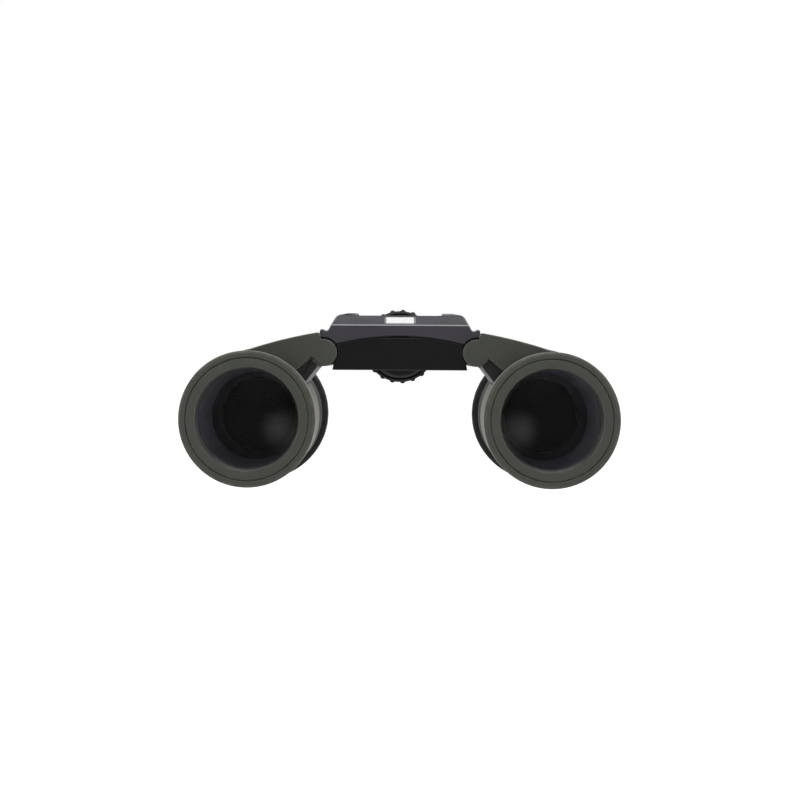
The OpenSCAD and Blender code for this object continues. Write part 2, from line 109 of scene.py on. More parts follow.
def rounded(corners, steps=4):
    """Points of a closed outline. A corner is (r, depth), or (r, depth, fillet) to round it."""
    points = []
    for i, corner in enumerate(corners):
        here = Vector(corner[:2])
        if len(corner) == 2:
            points.append(here)
            continue
        before = Vector(corners[i - 1][:2]) - here
        after = Vector(corners[(i + 1) % len(corners)][:2]) - here
        start = here + before.normalized() * min(corner[2], 0.48 * before.length)
        end = here + after.normalized() * min(corner[2], 0.48 * after.length)
        for k in range(steps + 1):
            t = k / steps
            points.append(start * (1 - t) ** 2 + here * 2 * t * (1 - t) + end * t * t)
    return points


def turned(outline, axis, segments=SEGMENTS, shape=None):
    """A mesh from a closed outline of (radius, depth) in mm, spun round an axis that runs front to back.
    shape(r, d, angle) may move a point, which makes ribs, flutes and notches."""
    count = len(outline)
    places, faces = [], []
    for k in range(segments):
        angle = 2 * math.pi * k / segments
        cos, sin = math.cos(angle) * MM, math.sin(angle) * MM
        for r, d in outline:
            if shape:
                r, d = shape(r, d, angle)
            places.append((axis.x + r * cos, FRONT_Y + d * MM, axis.z + r * sin))
        here, there = k * count, (k + 1) % segments * count
        for i in range(count):
            j = (i + 1) % count
            faces.append((here + i, here + j, there + j, there + i))
    return made("turned", places, faces)


def slab(outline, front, back):
    """A mesh from an outline of (x, z) in mm, between two depths."""
    count = len(outline)
    places = [(x * MM, FRONT_Y + d * MM, z * MM) for d in (front, back) for x, z in outline]
    faces = [tuple(range(count)), tuple(range(2 * count - 1, count - 1, -1))]
    faces += [(i, i + count, (i + 1) % count + count, (i + 1) % count) for i in range(count)]
    return made("slab", places, faces)


def arc(centre, r, start, end, steps=28):
    angles = [math.radians(start + (end - start) * i / steps) for i in range(steps + 1)]
    return [(centre[0] + r * math.cos(a), centre[1] + r * math.sin(a)) for a in angles]


def made(name, places, faces):
    mesh = bpy.data.meshes.new(name)
    mesh.from_pydata(places, [], faces)
    tidy(mesh, OWN_MERGE)
    return mesh


def tidy(mesh, merge, flat=0.0):
    """Merges close points, joins faces that lie in one plane, and turns every face outwards."""
    bm = bmesh.new()
    bm.from_mesh(mesh)
    bmesh.ops.remove_doubles(bm, verts=bm.verts, dist=merge * MM)
    bmesh.ops.dissolve_degenerate(bm, edges=bm.edges, dist=merge * MM / 4)
    if flat:
        bmesh.ops.dissolve_limit(bm, angle_limit=math.radians(flat), verts=bm.verts, edges=bm.edges)
    bmesh.ops.recalc_face_normals(bm, faces=bm.faces)
    bm.to_mesh(mesh)
    bm.free()


def column(items, field, kind, width=1):
    """One field of every face, edge, corner or point of a mesh, as an array."""
    values = np.empty(len(items) * width, kind)
    items.foreach_get(field, values)
    return values.reshape(-1, width) if width > 1 else values


def narrow_faces(mesh, edge, face):
    """Which faces are no wider than a worn, highlighted edge. edge and face say what each corner belongs to.
    """
    start, end = column(mesh.vertices, "co", np.float32, 3)[column(mesh.edges, "vertices", np.int32, 2).T]
    longest = np.zeros(len(mesh.polygons), np.float32)
    np.maximum.at(longest, face, np.linalg.norm(end - start, axis=1)[edge])
    return column(mesh.polygons, "area", np.float32) / np.maximum(longest, 1e-9) < EDGE_WEAR_HIGHLIGHT_WIDTH * MM


def mark_edges(mesh):
    """Stores on each narrow face how sharply the surface turns outwards there, from 0 to 1.
    The materials show it as wear and as a painted highlight along the edge."""
    edge = column(mesh.loops, "edge_index", np.int32)
    face = np.repeat(np.arange(len(mesh.polygons)), column(mesh.polygons, "loop_total", np.int32))
    narrow = narrow_faces(mesh, edge, face)
    order = np.argsort(edge, kind="stable")
    edge, face = edge[order], face[order]
    pair = np.flatnonzero(edge[1:] == edge[:-1])
    first, second = face[pair], face[pair + 1]
    normal = column(mesh.polygons, "normal", np.float32, 3)
    centre = column(mesh.polygons, "center", np.float32, 3)
    turn = np.degrees(np.arccos(np.clip((normal[first] * normal[second]).sum(1), -1, 1)))
    outwards = ((centre[second] - centre[first]) * normal[first]).sum(1) < 0
    sharp = np.where(outwards, np.clip((turn - EDGE_WEAR_HIGHLIGHT_FROM) / (EDGE_WEAR_HIGHLIGHT_TO - EDGE_WEAR_HIGHLIGHT_FROM), 0, 1), 0)
    value = np.zeros(len(mesh.polygons), np.float32)
    for beside in (first, second):
        np.maximum.at(value, beside, sharp)
    mesh.attributes.new("wear", "FLOAT", "FACE").data.foreach_set("value", value * narrow)


def shaded(mesh):
    mesh.shade_smooth()
    mesh.set_sharp_from_angle(angle=math.radians(SHARP_ANGLE))
    mark_edges(mesh)


def new_piece(name, mesh):
    piece = bpy.data.objects.new(name, mesh)
    scene.collection.objects.link(piece)
    return piece


def ride_as(piece, node):
    """The piece takes its body and material slot from a CAD node."""
    look = next((own for part, own in OWN_LOOK.items() if node.endswith(part)), SLOT[node])
    piece.data.materials.append(MATERIALS[look])
    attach(piece, BODY[node])
    return piece


def stand_in(node, mesh, label):
    """A finished piece that is shown in place of a CAD node."""
    shaded(mesh)
    piece = ride_as(new_piece(f"{node}_{label}", mesh), node)
    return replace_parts(piece, node)


def baked(piece):
    """Puts the result of a piece's modifiers into its mesh."""
    graph = bpy.context.evaluated_depsgraph_get()
    mesh = bpy.data.meshes.new_from_object(piece.evaluated_get(graph))
    piece.modifiers.clear()
    piece.data = mesh
    return mesh


def softened(node, bevel):
    """A copy of a CAD node's mesh with every sharp edge rounded by bevel mm, shown in place of the node."""
    mesh = nodes[node].data.copy()
    mesh.materials.clear()
    for layer in [a.name for a in mesh.attributes if a.name == "custom_normal"]:
        mesh.attributes.remove(mesh.attributes[layer])
    tidy(mesh, CAD_MERGE, FLAT_ANGLE)
    piece = new_piece(f"{node}_edges_softened", mesh)
    modifier = piece.modifiers.new("bevel", "BEVEL")
    modifier.width = bevel * MM
    modifier.segments = 3
    modifier.limit_method = "ANGLE"
    modifier.angle_limit = math.radians(BEVEL_ANGLE)
    modifier.use_clamp_overlap = False
    modifier.miter_outer = "MITER_ARC"
    weigh = piece.modifiers.new("normals", "WEIGHTED_NORMAL")
    weigh.keep_sharp = True
    mesh.shade_smooth()
    mark_edges(baked(piece))
    ride_as(piece, node)
    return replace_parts(piece, node)


# ---------------------------------------------------------------- shader nodes

def linear(*srgb):
    """Scene-linear colour of three 0 to 255 screen values."""
    return tuple((c / 255 / 12.92) if c <= 10 else ((c / 255 + 0.055) / 1.055) ** 2.4 for c in srgb) + (1,)


class Nodes:
    """Adds and links the nodes of one node tree."""

    def __init__(self, tree):
        self.tree = tree

    def add(self, kind, settings=(), **inputs):
        """A new node. Each input is named after its socket, with _ for a space."""
        node = self.tree.nodes.new(kind)
        for key, value in dict(settings).items():
            setattr(node, key, value)
        for key, value in inputs.items():
            self.join(value, node.inputs[key.replace("_", " ")])
        return node

    def join(self, value, socket):
        if isinstance(value, bpy.types.NodeSocket):
            self.tree.links.new(value, socket)
        else:
            socket.default_value = value

    def stretch(self, value, low, high, to_low=0.0, to_high=1.0, kind="LINEAR"):
        """Carries low to to_low and high to to_high, and stops at both."""
        return self.add("ShaderNodeMapRange", {"interpolation_type": kind}, Value=value, From_Min=low,
                        From_Max=high, To_Min=to_low, To_Max=to_high).outputs["Result"]

    def math(self, operation, a, b):
        node = self.add("ShaderNodeMath", {"operation": operation})
        self.join(a, node.inputs[0])
        self.join(b, node.inputs[1])
        return node.outputs[0]

    def vector_math(self, operation, *vectors):
        node = self.add("ShaderNodeVectorMath", {"operation": operation})
        for vector, socket in zip(vectors, node.inputs):
            self.join(vector, socket)
        return node.outputs

    def mix_shaders(self, factor, a, b):
        node = self.add("ShaderNodeMixShader")
        for value, socket in zip((factor, a, b), node.inputs):
            self.join(value, socket)
        return node.outputs[0]


class Shader(Nodes):
    """The nodes of one material, whose patterns lie on the object's own coordinates."""

    def __init__(self, name):
        self.material = bpy.data.materials.new(name)
        self.material.use_nodes = True
        super().__init__(self.material.node_tree)
        self.principled = self.tree.nodes["Principled BSDF"]
        self.place = self.add("ShaderNodeTexCoord").outputs["Object"]

    def noise(self, scale, detail=3.0, rough=0.55):
        return self.add("ShaderNodeTexNoise", Vector=self.place, Scale=scale, Detail=detail,
                        Roughness=rough).outputs["Fac"]

    def cells(self, scale):
        return self.add("ShaderNodeTexVoronoi", Vector=self.place, Scale=scale).outputs["Distance"]

    def patches(self, scale, detail=3.0, low=0.0, high=1.0):
        """Soft clouds that range from low to high."""
        return self.stretch(self.noise(scale, detail), 0.3, 0.7, low, high)

    def blend(self, factor, a, b):
        node = self.add("ShaderNodeMix", {"data_type": "RGBA"}, Factor=factor)
        self.join(a, node.inputs[6])       # the colour sockets share their names with the number sockets
        self.join(b, node.inputs[7])
        return node.outputs[2]

    def wear(self, patchy, upwards):
        """Worn edges that also carry a painted highlight. The higher patchy is, from 0 to 1, the more they
        break up into patches.
        With the last argument set, only the edges that look upwards get them, as a painted highlight from the
        lamps above."""
        edge = self.add("ShaderNodeAttribute", {"attribute_name": "wear"}).outputs["Fac"]
        if upwards:
            normal = self.add("ShaderNodeNewGeometry").outputs["Normal"]
            height = self.add("ShaderNodeSeparateXYZ", Vector=normal).outputs["Z"]
            edge = self.math("MULTIPLY", edge, self.stretch(height, 0.1, 0.4))
        patches = self.stretch(self.noise(420, 4), 0.35, 0.65, 1 - patchy, 1)
        return self.stretch(self.math("MULTIPLY", edge, patches), 0.2, 0.8)

    def bump(self, height, distance, normal=None):
        """Relief of a height in mm, on top of the relief that normal already has."""
        node = self.add("ShaderNodeBump", Height=height, Distance=distance * MM, Strength=1.0)
        if normal:
            self.join(normal, node.inputs["Normal"])
        return node.outputs["Normal"]

    def set(self, **inputs):
        """Values or links of the main shader. Each is named after its socket, with _ for a space."""
        for key, value in inputs.items():
            self.join(value, self.principled.inputs[key.replace("_", " ")])


# ---------------------------------------------------------------- materials

def moulded(name, dark, light, edge_wear_highlight_colour, rough, grain, relief, specular=0.5, wear_to=0.5, cells=0.0, sheen=0.0,
            patchy=0.8, upwards=False):
    """Rubber or plastic: two close shades in soft clouds, a fine grain, and edges polished by handling.
    The edges are also lighter, partly as wear and partly as a painted highlight.
    """
    s = Shader(name)
    speck = s.noise(grain, 2, 0.6)
    shade = s.math("MULTIPLY", s.math("ADD", s.patches(70, 2), s.stretch(speck, 0.3, 0.7)), 0.5)
    # Lighter edges: part handling wear, part painted highlight from the lamps.
    wear = s.math("MULTIPLY", s.wear(patchy, upwards), wear_to)
    s.set(Base_Color=s.blend(wear, s.blend(shade, dark, light), edge_wear_highlight_colour))
    roughness = s.patches(160, 3, rough - 0.05, rough + 0.05)
    s.set(Roughness=s.math("SUBTRACT", roughness, s.math("MULTIPLY", wear, 0.18)))
    normal = s.bump(speck, relief)
    if cells:
        normal = s.bump(s.cells(cells), relief * 0.8, normal)
    s.set(Normal=normal, Specular_IOR_Level=specular)
    s.set(Sheen_Weight=sheen, Sheen_Roughness=0.3, Sheen_Tint=(1.0, 0.93, 0.86, 1))
    return s.material


def machined(name, dark, light, rough, lines_scale, metallic=1.0):
    """Metal turned on a lathe: fine lines along the cut, patches where the finish varies."""
    s = Shader(name)
    squeezed = s.add("ShaderNodeMapping", Vector=s.place, Scale=(0.15, 1.0, 0.15)).outputs["Vector"]
    lines = s.add("ShaderNodeTexNoise", Vector=squeezed, Scale=lines_scale, Detail=2.0).outputs["Fac"]
    s.set(Base_Color=s.blend(s.patches(220), dark, light), Metallic=metallic, Specular_IOR_Level=0.5)
    s.set(Roughness=s.stretch(lines, 0.3, 0.7, rough - 0.06, rough + 0.06))
    s.set(Normal=s.bump(lines, 0.004))
    return s.material


def coated_glass(name, thin, thick, haze=0.0, smudge=0.0):
    """Clear glass with a coating that bounces no light straight back. Lamps shine through it into the barrel.
    A faint haze scatters light, and a stronger haze low on the inner side of each lens paints a glow that
    stands in for the coating's reflections."""
    s = Shader(name)
    tint = s.blend(s.patches(120), thin, thick)
    s.set(Base_Color=tint, IOR=1.5, Roughness=0.0, Specular_Tint=(0, 0, 0, 1), Transmission_Weight=1.0)
    # A stronger haze in one patch paints a glow that stands in for a reflection in the lens.
    if smudge:
        either_side = s.vector_math("ABSOLUTE", s.place)[0]
        away = s.vector_math("DISTANCE", either_side, PAINTED_GLOW_PLACE)["Value"]
        s.set(Transmission_Weight=s.stretch(away, 0, PAINTED_GLOW_REACH, 1 - smudge, 1 - haze, "SMOOTHSTEP"))
    lamplight = s.add("ShaderNodeBsdfTransparent", Color=tint).outputs[0]
    is_shadow = s.add("ShaderNodeLightPath").outputs["Is Shadow Ray"]
    surface = s.mix_shaders(is_shadow, s.principled.outputs[0], lamplight)
    s.join(surface, s.tree.nodes["Material Output"].inputs["Surface"])
    return s.material


def label_white(name):
    """Glossy printed label with a faint mottle and a slightly dusty surface."""
    s = Shader(name)
    s.set(Base_Color=s.blend(s.patches(500), linear(200, 200, 202), linear(205, 205, 206)))
    s.set(Roughness=s.patches(260, 2, 0.22, 0.34), Coat_Weight=0.4)
    s.set(Normal=s.bump(s.noise(900, 2), 0.003))
    return s.material


LENS = middle("left_objective_lenses")
LENS_FRONT_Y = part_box("left_objective_lenses")[0].y
# Where the painted glow that stands in for each lens's reflection is strongest, and how far it reaches.
# The material makes every coordinate positive before it measures from here, so this serves both lenses.
PAINTED_GLOW_PLACE = (LENS.x - 8.5 * MM, abs(LENS_FRONT_Y), LENS.z - 2.8 * MM)
PAINTED_GLOW_REACH = 6.5 * MM

MATERIALS = {
    "armour": moulded(
        "armour_rubber", linear(48, 50, 43), linear(54, 56, 49), linear(80, 81, 75), rough=0.6, grain=3200,
        relief=0.016, specular=0.36, wear_to=0.45, cells=2600, sheen=0.36),
    "grip": moulded(
        "grip_rubber", linear(15, 15, 16), linear(20, 20, 20), linear(44, 44, 44), rough=0.66, grain=2600,
        relief=0.02, specular=0.4, wear_to=0.4, cells=2200),
    "casting": moulded(
        "casting_plastic", linear(36, 36, 36), linear(42, 42, 42), linear(66, 66, 66), rough=0.48, grain=3600,
        relief=0.012, specular=0.4, wear_to=0.4),
    # Its lighter bevels are a painted highlight, the lamps' glint along the front plate's edges.
    "bridge_plastic": moulded(
        "bridge_plastic", linear(20, 20, 20), linear(24, 24, 24), linear(66, 66, 67), rough=0.5, grain=3600,
        relief=0.01, specular=0.06, wear_to=0.6, patchy=0.3),
    # Its light upward edges are a painted highlight: the lamps' glint along the top cover's front bevel.
    "cover_plastic": moulded(
        "cover_plastic", linear(52, 50, 55), linear(58, 56, 61), linear(152, 151, 156), rough=0.6, grain=3400,
        relief=0.01, specular=0.12, wear_to=0.7, patchy=0.2, upwards=True),
    "black_plastic": moulded(
        "satin_black_plastic", linear(38, 38, 39), linear(44, 44, 45), linear(84, 84, 86), rough=0.36,
        grain=4200, relief=0.006),
    # Its lighter edges are partly a painted highlight, such as the light line round the focus wheel's face.
    "satin_grey": moulded(
        "satin_grey_plastic", linear(60, 60, 61), linear(67, 67, 68), linear(120, 120, 122), rough=0.42,
        grain=4200, relief=0.006, specular=0.4, wear_to=0.6, patchy=0.3),
    # Pale lining inside the light baffle: its colour is painted light, standing in for the light that reaches
    # the dim inside of the barrel.
    "lining": moulded(
        "matt_lining", linear(104, 103, 113), linear(118, 117, 127), linear(118, 117, 127), rough=0.75,
        grain=2600, relief=0.02, specular=0.3, wear_to=0.0),
    "black_metal": machined(
        "black_anodised", linear(12, 12, 14), linear(17, 17, 20), rough=0.36, lines_scale=1400, metallic=0.0),
    "steel": machined(
        "ground_steel", linear(168, 168, 170), linear(188, 188, 190), rough=0.28, lines_scale=2200),
    "screw_steel": machined(
        "blackened_steel", linear(38, 38, 40), linear(52, 52, 54), rough=0.35, lines_scale=2600),
    "brass": machined(
        "machined_brass", linear(186, 152, 88), linear(204, 172, 108), rough=0.26, lines_scale=2200),
    # The last figure is the strength of the painted glow that stands in for each lens's reflection.
    "lens_glass": coated_glass(
        "coated_lens_glass", linear(250, 250, 252), linear(253, 253, 255), haze=0.005, smudge=0.06),
    # Prism glass tinted near black: painted shade that stands in for the dark inside of each barrel.
    "prism_glass": coated_glass("prism_glass", linear(16, 16, 18), linear(20, 20, 22)),
    "nameplate": label_white("label_white"),
}
OWN_LOOK = {     # where the finish of a slot differs from piece to piece; the baffle's pale lining is painted light
    "light_baffle": "lining", "focus_wheel_core": "satin_grey", "objective_retainer": "satin_grey",
}


# ---------------------------------------------------------------- barrel, front to back

def front_bumper(node, axis):
    """Soft ring round the mouth, with a slightly raised band inside its front."""
    outer = radius(node)
    front, back = depths(node)
    inner = outer - 1.65
    band, band_start, band_end = inner - 0.1, front + 0.4, front + 2
    return turned(rounded([
        (inner, back, 0.2), (inner, band_end + 0.2), (band, band_end), (band, band_start),
        (inner + 0.08, front, 0.12), (outer, front, 1.0), (outer, back - 0.05, 0.4)], 6), axis)


def objective_bezel(node, axis):
    """Flat front ring with a skirt that goes into the bumper."""
    outer = radius(node)
    front, back = depths(node)
    mouth, skirt, thickness = outer - 2.2, outer - 0.95, 1.2
    return turned(rounded([
        (mouth, front, 0.22), (outer, front, 0.16), (outer, back), (skirt, back),
        (skirt, front + thickness), (mouth, front + thickness)], 5), axis)


def objective_hood(node, axis):
    """Inside wall in front of the lens, with fine ridges against stray light."""
    outer = radius(node)
    front, back = depths(node)
    bore, height, ridges = outer - 1.15, 0.16, 13
    pitch = (back - front) / ridges
    wall = []
    for i in range(ridges):
        start = front + i * pitch
        wall += [(bore, start), (bore, start + 0.35 * pitch), (bore + height, start + 0.55 * pitch),
                 (bore + height, start + 0.8 * pitch)]
    return turned([Vector(p) for p in wall + [(bore, back), (outer, back), (outer, front)]], axis)


def objective_retainer(node, axis, turn):
    """Threaded ring that holds the lens. Two slots take the spanner."""
    outer = radius(node)
    front, back = depths(node)
    inner = outer - 1.55
    bevel, bevel_depth = 0.36, 0.95
    slot_depth, slot_half, slot_edge = 0.5, 0.55, 0.75

    def slots(r, d, angle):
        off = abs((angle - turn + math.pi / 2) % math.pi - math.pi / 2) * inner
        if d < back - 0.2 and r < outer - 0.2:
            d += slot_depth * (1 - smooth_step(slot_half, slot_edge, off))
        return r, d

    return turned(rounded([
        (outer, front), (outer, back), (inner, back), (inner, front + bevel_depth, 0.1),
        (inner + bevel, front, 0.08)], 3), axis, 480, slots)


def threaded_wall(bore, start, end, pitch, height):
    """Sawtooth wall of an inside thread, front to back."""
    wall = []
    for i in range(int((end - start) / pitch)):
        wall += [(bore, start + i * pitch), (bore + height, start + (i + 0.6) * pitch)]
    return wall + [(bore, end)]


def objective_cell(node, axis):
    """Lens seat in front, and an inside thread behind it."""
    outer = radius(node)
    front, back = depths(node)
    seat, bore, thread_start = outer - 0.75, outer - 1.65, front + 6
    wall = threaded_wall(bore, thread_start, back, pitch=0.5, height=0.12)
    return turned([Vector(p) for p in [(seat, front), (seat, thread_start - 0.05)] + wall
                   + [(outer, back), (outer, front)]], axis)


def light_baffle(node, axis):
    """A cone lined with fine matte threads."""
    outer = radius(node)
    front, back = depths(node)
    mouth, throat, wall, flange = outer - 1.75, outer - 5.65, 0.9, 1
    rings, groove, groove_end = 40, 0.1, 0.3
    inside = []
    for i in range(rings):
        share = i / rings
        r, d = mouth + (throat - mouth) * share, front + (back - front) * share
        inside += [(r, d), (r + groove, d + groove_end)]
    outline = inside + [(throat, back), (outer, back), (outer, back - flange), (throat + wall, back - flange),
                        (mouth + wall, front + flange), (outer, front + flange), (outer, front)]
    return turned([Vector(p) for p in outline], axis)


def sag(r, big):
    """How far a sphere of radius big has curved back at the distance r from its pole."""
    return big - math.sqrt(big * big - r * r)


def lens_face(rim, rim_depth, big, steps=24):
    """Half profile of a sphere: big is its radius, positive where it bulges backwards."""
    bulge = math.copysign(1, big)
    return [(rim * i / steps, rim_depth + bulge * (sag(rim, abs(big)) - sag(rim * i / steps, abs(big))))
            for i in range(steps + 1)]


def lens(rim, axis, front_depth, front_big, back_depth, back_big):
    outline = lens_face(rim, front_depth, front_big) + lens_face(rim, back_depth, back_big)[::-1]
    return turned([Vector(p) for p in outline], axis)


def objective_lenses(node, axis):
    """The outside of the doublet: a strongly curved front and a nearly flat back."""
    rim = radius(node)
    front, _ = depths(node)
    curve, edge = 55, 5.5
    rim_depth = front + sag(rim, curve)
    return lens(rim, axis, front_depth=rim_depth, front_big=-curve, back_depth=rim_depth + edge, back_big=400)


def focus_lens(node, axis):
    """A negative lens, hollow on both sides."""
    rim = radius(node)
    front, back = depths(node)
    return lens(rim, axis, front_depth=front, front_big=45, back_depth=back, back_big=-60)


def rear_armour(node, axis):
    """Black grip sleeve with rounded grooves."""
    outer = radius(node)
    front, back = depths(node)
    grooves, width, height, pitch, first = 5, 0.9, 0.35, 3.2, 4
    wall, slope, fillet = 1.2, 0.14, 0.16
    side = [(outer - wall, front), (outer, front, 0.3)]
    for i in range(grooves):
        start = front + first + i * pitch
        side += [(outer, start, fillet), (outer - height, start + slope, slope),
                 (outer - height, start + width - slope, slope), (outer, start + width, fillet)]
    return turned(rounded(side + [(outer, back, 0.3), (outer - wall, back)], 3), axis)


RING_FLUTES = 36


def ocular_ring(node, axis):
    """Ring with flutes that fade out towards both ends."""
    outer = radius(node)
    front, back = depths(node)
    flute_start, flute_end, fade = front + 1.4, back - 1.4, 0.7
    half_width, flute_depth = 0.85, 0.32
    slot_angle = 2 * math.pi / RING_FLUTES

    def flutes(r, d, angle):
        off = abs((angle + slot_angle / 2) % slot_angle - slot_angle / 2) * outer
        if r > outer - 0.02 and off < half_width:
            ends = smooth_step(flute_start, flute_start + fade, d)
            ends *= smooth_step(flute_end, flute_end - fade, d)
            r -= flute_depth * ends * (1 - (off / half_width) ** 2) ** 1.5
        return r, d

    steps = [flute_start + fade * i / 4 for i in range(5)]
    steps += [flute_end - fade * i / 4 for i in range(4, -1, -1)]
    bore, seat, sleeve = outer - 2.6, outer - 5.2, outer - 2.55
    seat_start, seat_end = front + 1.8, front + 3.6
    return turned(rounded(
        [(bore, front + 0.3), (bore + 0.3, front), (outer, front, 0.9)] + [(outer, d) for d in steps]
        + [(outer, back, 1.2), (sleeve, back, 0.2), (sleeve, seat_end), (seat, seat_end), (seat, seat_start),
           (bore, seat_start)], 5), axis, RING_FLUTES * 16, flutes)


def ocular_tube(node, axis):
    """Tube with a wider front part."""
    outer = radius(node)
    front, back = depths(node)
    tube, wide_end = outer - 1.25, front + 10
    bore = tube - 1.3
    return turned(rounded([
        (bore, front), (bore, back, 0.15), (tube, back, 0.3), (tube, wide_end), (outer, wide_end, 0.1),
        (outer, front)], 3), axis)


def eyepiece_cell(node, axis):
    """Eyepiece barrel with a stepped stop in front of the eye lens."""
    outer = radius(node)
    front, _ = depths(node)
    bands = [     # start, end, wall
        (0, 2, 2.65), (2.5, 7.5, 1.35), (7.5, 12, 2.85), (12.5, 20, 2.15), (20, 20.7, 3.05)]
    length = bands[-1][1]
    corners = [(0, 0), (0, length)]
    for start, end, wall in reversed(bands):
        corners += [(wall, end), (wall, start)]
    return turned(rounded([(outer - r, front + d, 0.1) for r, d in corners], 2), axis)


def eyecup_sleeve(node, axis):
    """Sleeve with an inward lip at the eye's end, and a groove inside that the guide runs in."""
    outer = radius(node)
    front, back = depths(node)
    inner, mouth, groove = outer - 2.1, outer - 4.2, outer - 0.7
    lip, groove_start, groove_end = 1.5, front + 0.4, front + 2.6
    return turned(rounded([
        (inner, front), (outer, front, 0.2), (outer, back, 0.2), (mouth, back, 0.4), (mouth, back - lip, 0.4),
        (inner, back - lip - 0.4, 0.3), (inner, groove_end), (groove, groove_end), (groove, groove_start),
        (inner, groove_start)], 3), axis)


def eyecup_rubber(node, axis):
    """Soft lip that rolls over the sleeve's end, with three shallow grip grooves."""
    outer = radius(node)
    front, back = depths(node)
    mouth, sleeve, lip = outer - 5.7, outer - 1.1, 2.48
    first, pitch, half_width, groove_depth = 2.4, 2.2, 0.25, 0.22
    side = [(sleeve, front), (outer, front, 0.35)]
    for i in range(3):
        start = front + first + pitch * i
        side += [(outer, start, 0.15), (outer - groove_depth, start + half_width, 0.15),
                 (outer, start + 2 * half_width, 0.15)]
    return turned(rounded(side + [
        (outer, back, 1.7), (mouth, back, 1.3), (mouth, back - lip, 0.1), (sleeve, back - lip)], 7), axis)


def eyepiece_lenses(node, axis):
    """The field lens and, joined to it as one mesh, the eye lens."""
    rim = radius(node)
    front, _ = depths(node)
    field = lens(rim, axis, front_depth=front + 0.1, front_big=400, back_depth=front + 3, back_big=30)
    eye = lens(rim - 0.8, axis, front_depth=front + 13, front_big=-20, back_depth=front + 15, back_big=24)
    bm = bmesh.new()
    bm.from_mesh(field)
    bm.from_mesh(eye)
    bm.to_mesh(field)
    bm.free()
    return field


TURNED = {
    "front_bumper": (front_bumper, "rounded"),
    "objective_bezel": (objective_bezel, "rounded"),
    "objective_hood": (objective_hood, "ridged"),
    "objective_cell": (objective_cell, "threaded"),
    "objective_lenses": (objective_lenses, "polished"),
    "light_baffle": (light_baffle, "threaded"),
    "focus_lens": (focus_lens, "polished"),
    "rear_armour": (rear_armour, "grooved"),
    "ocular_tube": (ocular_tube, "rounded"),
    "eyepiece_cell": (eyepiece_cell, "stepped"),
    "eyepiece_lenses": (eyepiece_lenses, "polished"),
    "eyecup_sleeve": (eyecup_sleeve, "rounded"),
    "eyecup_rubber": (eyecup_rubber, "rolled"),
}
BARREL_BEVELS = {     # mm
    "front_armour": 0.35, "barrel_casting": 0.25, "strap_lug": 0.4, "focus_rod": 0.1, "focus_arm": 0.12,
    "prism_cage": 0.15, "prisms": 0.12, "eyecup_guide": 0.1,
}
SPANNER_TURN = {"left": math.radians(-22), "right": math.radians(237)}


def build_barrel(side):
    axis = middle(f"{side}_front_bumper")
    for part, (make, label) in TURNED.items():
        node = f"{side}_{part}"
        stand_in(node, make(node, axis), label)
    retainer = f"{side}_objective_retainer"
    stand_in(retainer, objective_retainer(retainer, axis, SPANNER_TURN[side]), "slotted")
    ring = "left_ocular_ring" if side == "left" else "right_dioptre_ring"
    stand_in(ring, ocular_ring(ring, axis), "fluted")
    for part, bevel in BARREL_BEVELS.items():
        softened(f"{side}_{part}", bevel)


# ---------------------------------------------------------------- focus wheel and spindle

def both_faces(half, node):
    """A wheel's half profile, repeated for its other face."""
    front, back = depths(node)
    return half + [(r, front + back - d, *rest) for r, d, *rest in reversed(half)]


def wheel_core(node, axis):
    """Disc with a dished face and a raised rim."""
    outer = radius(node)
    front, _ = depths(node)
    bore, hub, dish, slope, rim = outer - 5.85, outer - 4.9, outer - 4.3, outer - 1.5, outer - 0.9
    half = [(bore, front + 1.3), (hub, front + 1.3, 0.2), (dish, front + 1.0, 0.3),
            (slope, front + 0.25, 0.5), (rim, front, 0.3), (outer - 0.3, front, 0.2),
            (outer, front + 0.3, 0.1)]
    return turned(rounded(both_faces(half, node), 4), axis)


WHEEL_RIBS = 21


def wheel_grip(node, axis):
    """Rubber tyre with rounded ribs."""
    tip = radius(node)
    front, back = depths(node)
    valley, rib = tip - 0.4, 0.75
    rib_start, rib_end, fade = front + 0.7, back - 0.7, 0.5
    rib_centre = tip - rib
    slot_angle = 2 * math.pi / WHEEL_RIBS

    def ribs(r, d, angle):
        off = abs((angle + slot_angle / 2) % slot_angle - slot_angle / 2)
        across = rib_centre * math.sin(off)
        if r > valley - 0.02 and across < rib:
            rise = rib_centre * math.cos(off) + math.sqrt(rib * rib - across * across) - valley
            ends = smooth_step(rib_start - fade / 2, rib_start + fade / 2, d)
            ends *= smooth_step(rib_end + fade / 2, rib_end - fade / 2, d)
            r += max(rise, 0) * ends
        return r, d

    steps = [rib_start + fade * (i / 4 - 0.5) for i in range(5)]
    inner, shoulder = valley - 0.95, valley - 0.55
    half = [(inner, front + 0.5), (inner, front + 0.35, 0.1), (inner + 0.4, front, 0.2),
            (shoulder, front, 0.3), (valley, front + 0.55, 0.3)]
    half += [(valley, d) for d in steps if d > front + 0.6]
    return turned(rounded(both_faces(half, node), 4), axis, WHEEL_RIBS * 28, ribs)


def focus_spindle(node, axis):
    """Rod with a coarse thread along its middle."""
    outer = radius(node)
    front, back = depths(node)
    thread_start, pitch, threads, height = front + 17.5, 0.8, 14, 0.35
    side = [(0, front), (outer, front, 0.3)]
    for i in range(threads):
        start = thread_start + pitch * i
        side += [(outer, start, 0.08), (outer - height, start + pitch / 2, 0.08)]
    side += [(outer, thread_start + pitch * threads), (outer, back, 0.3), (0, back)]
    return turned(rounded(side, 2), axis)


# ---------------------------------------------------------------- bridge

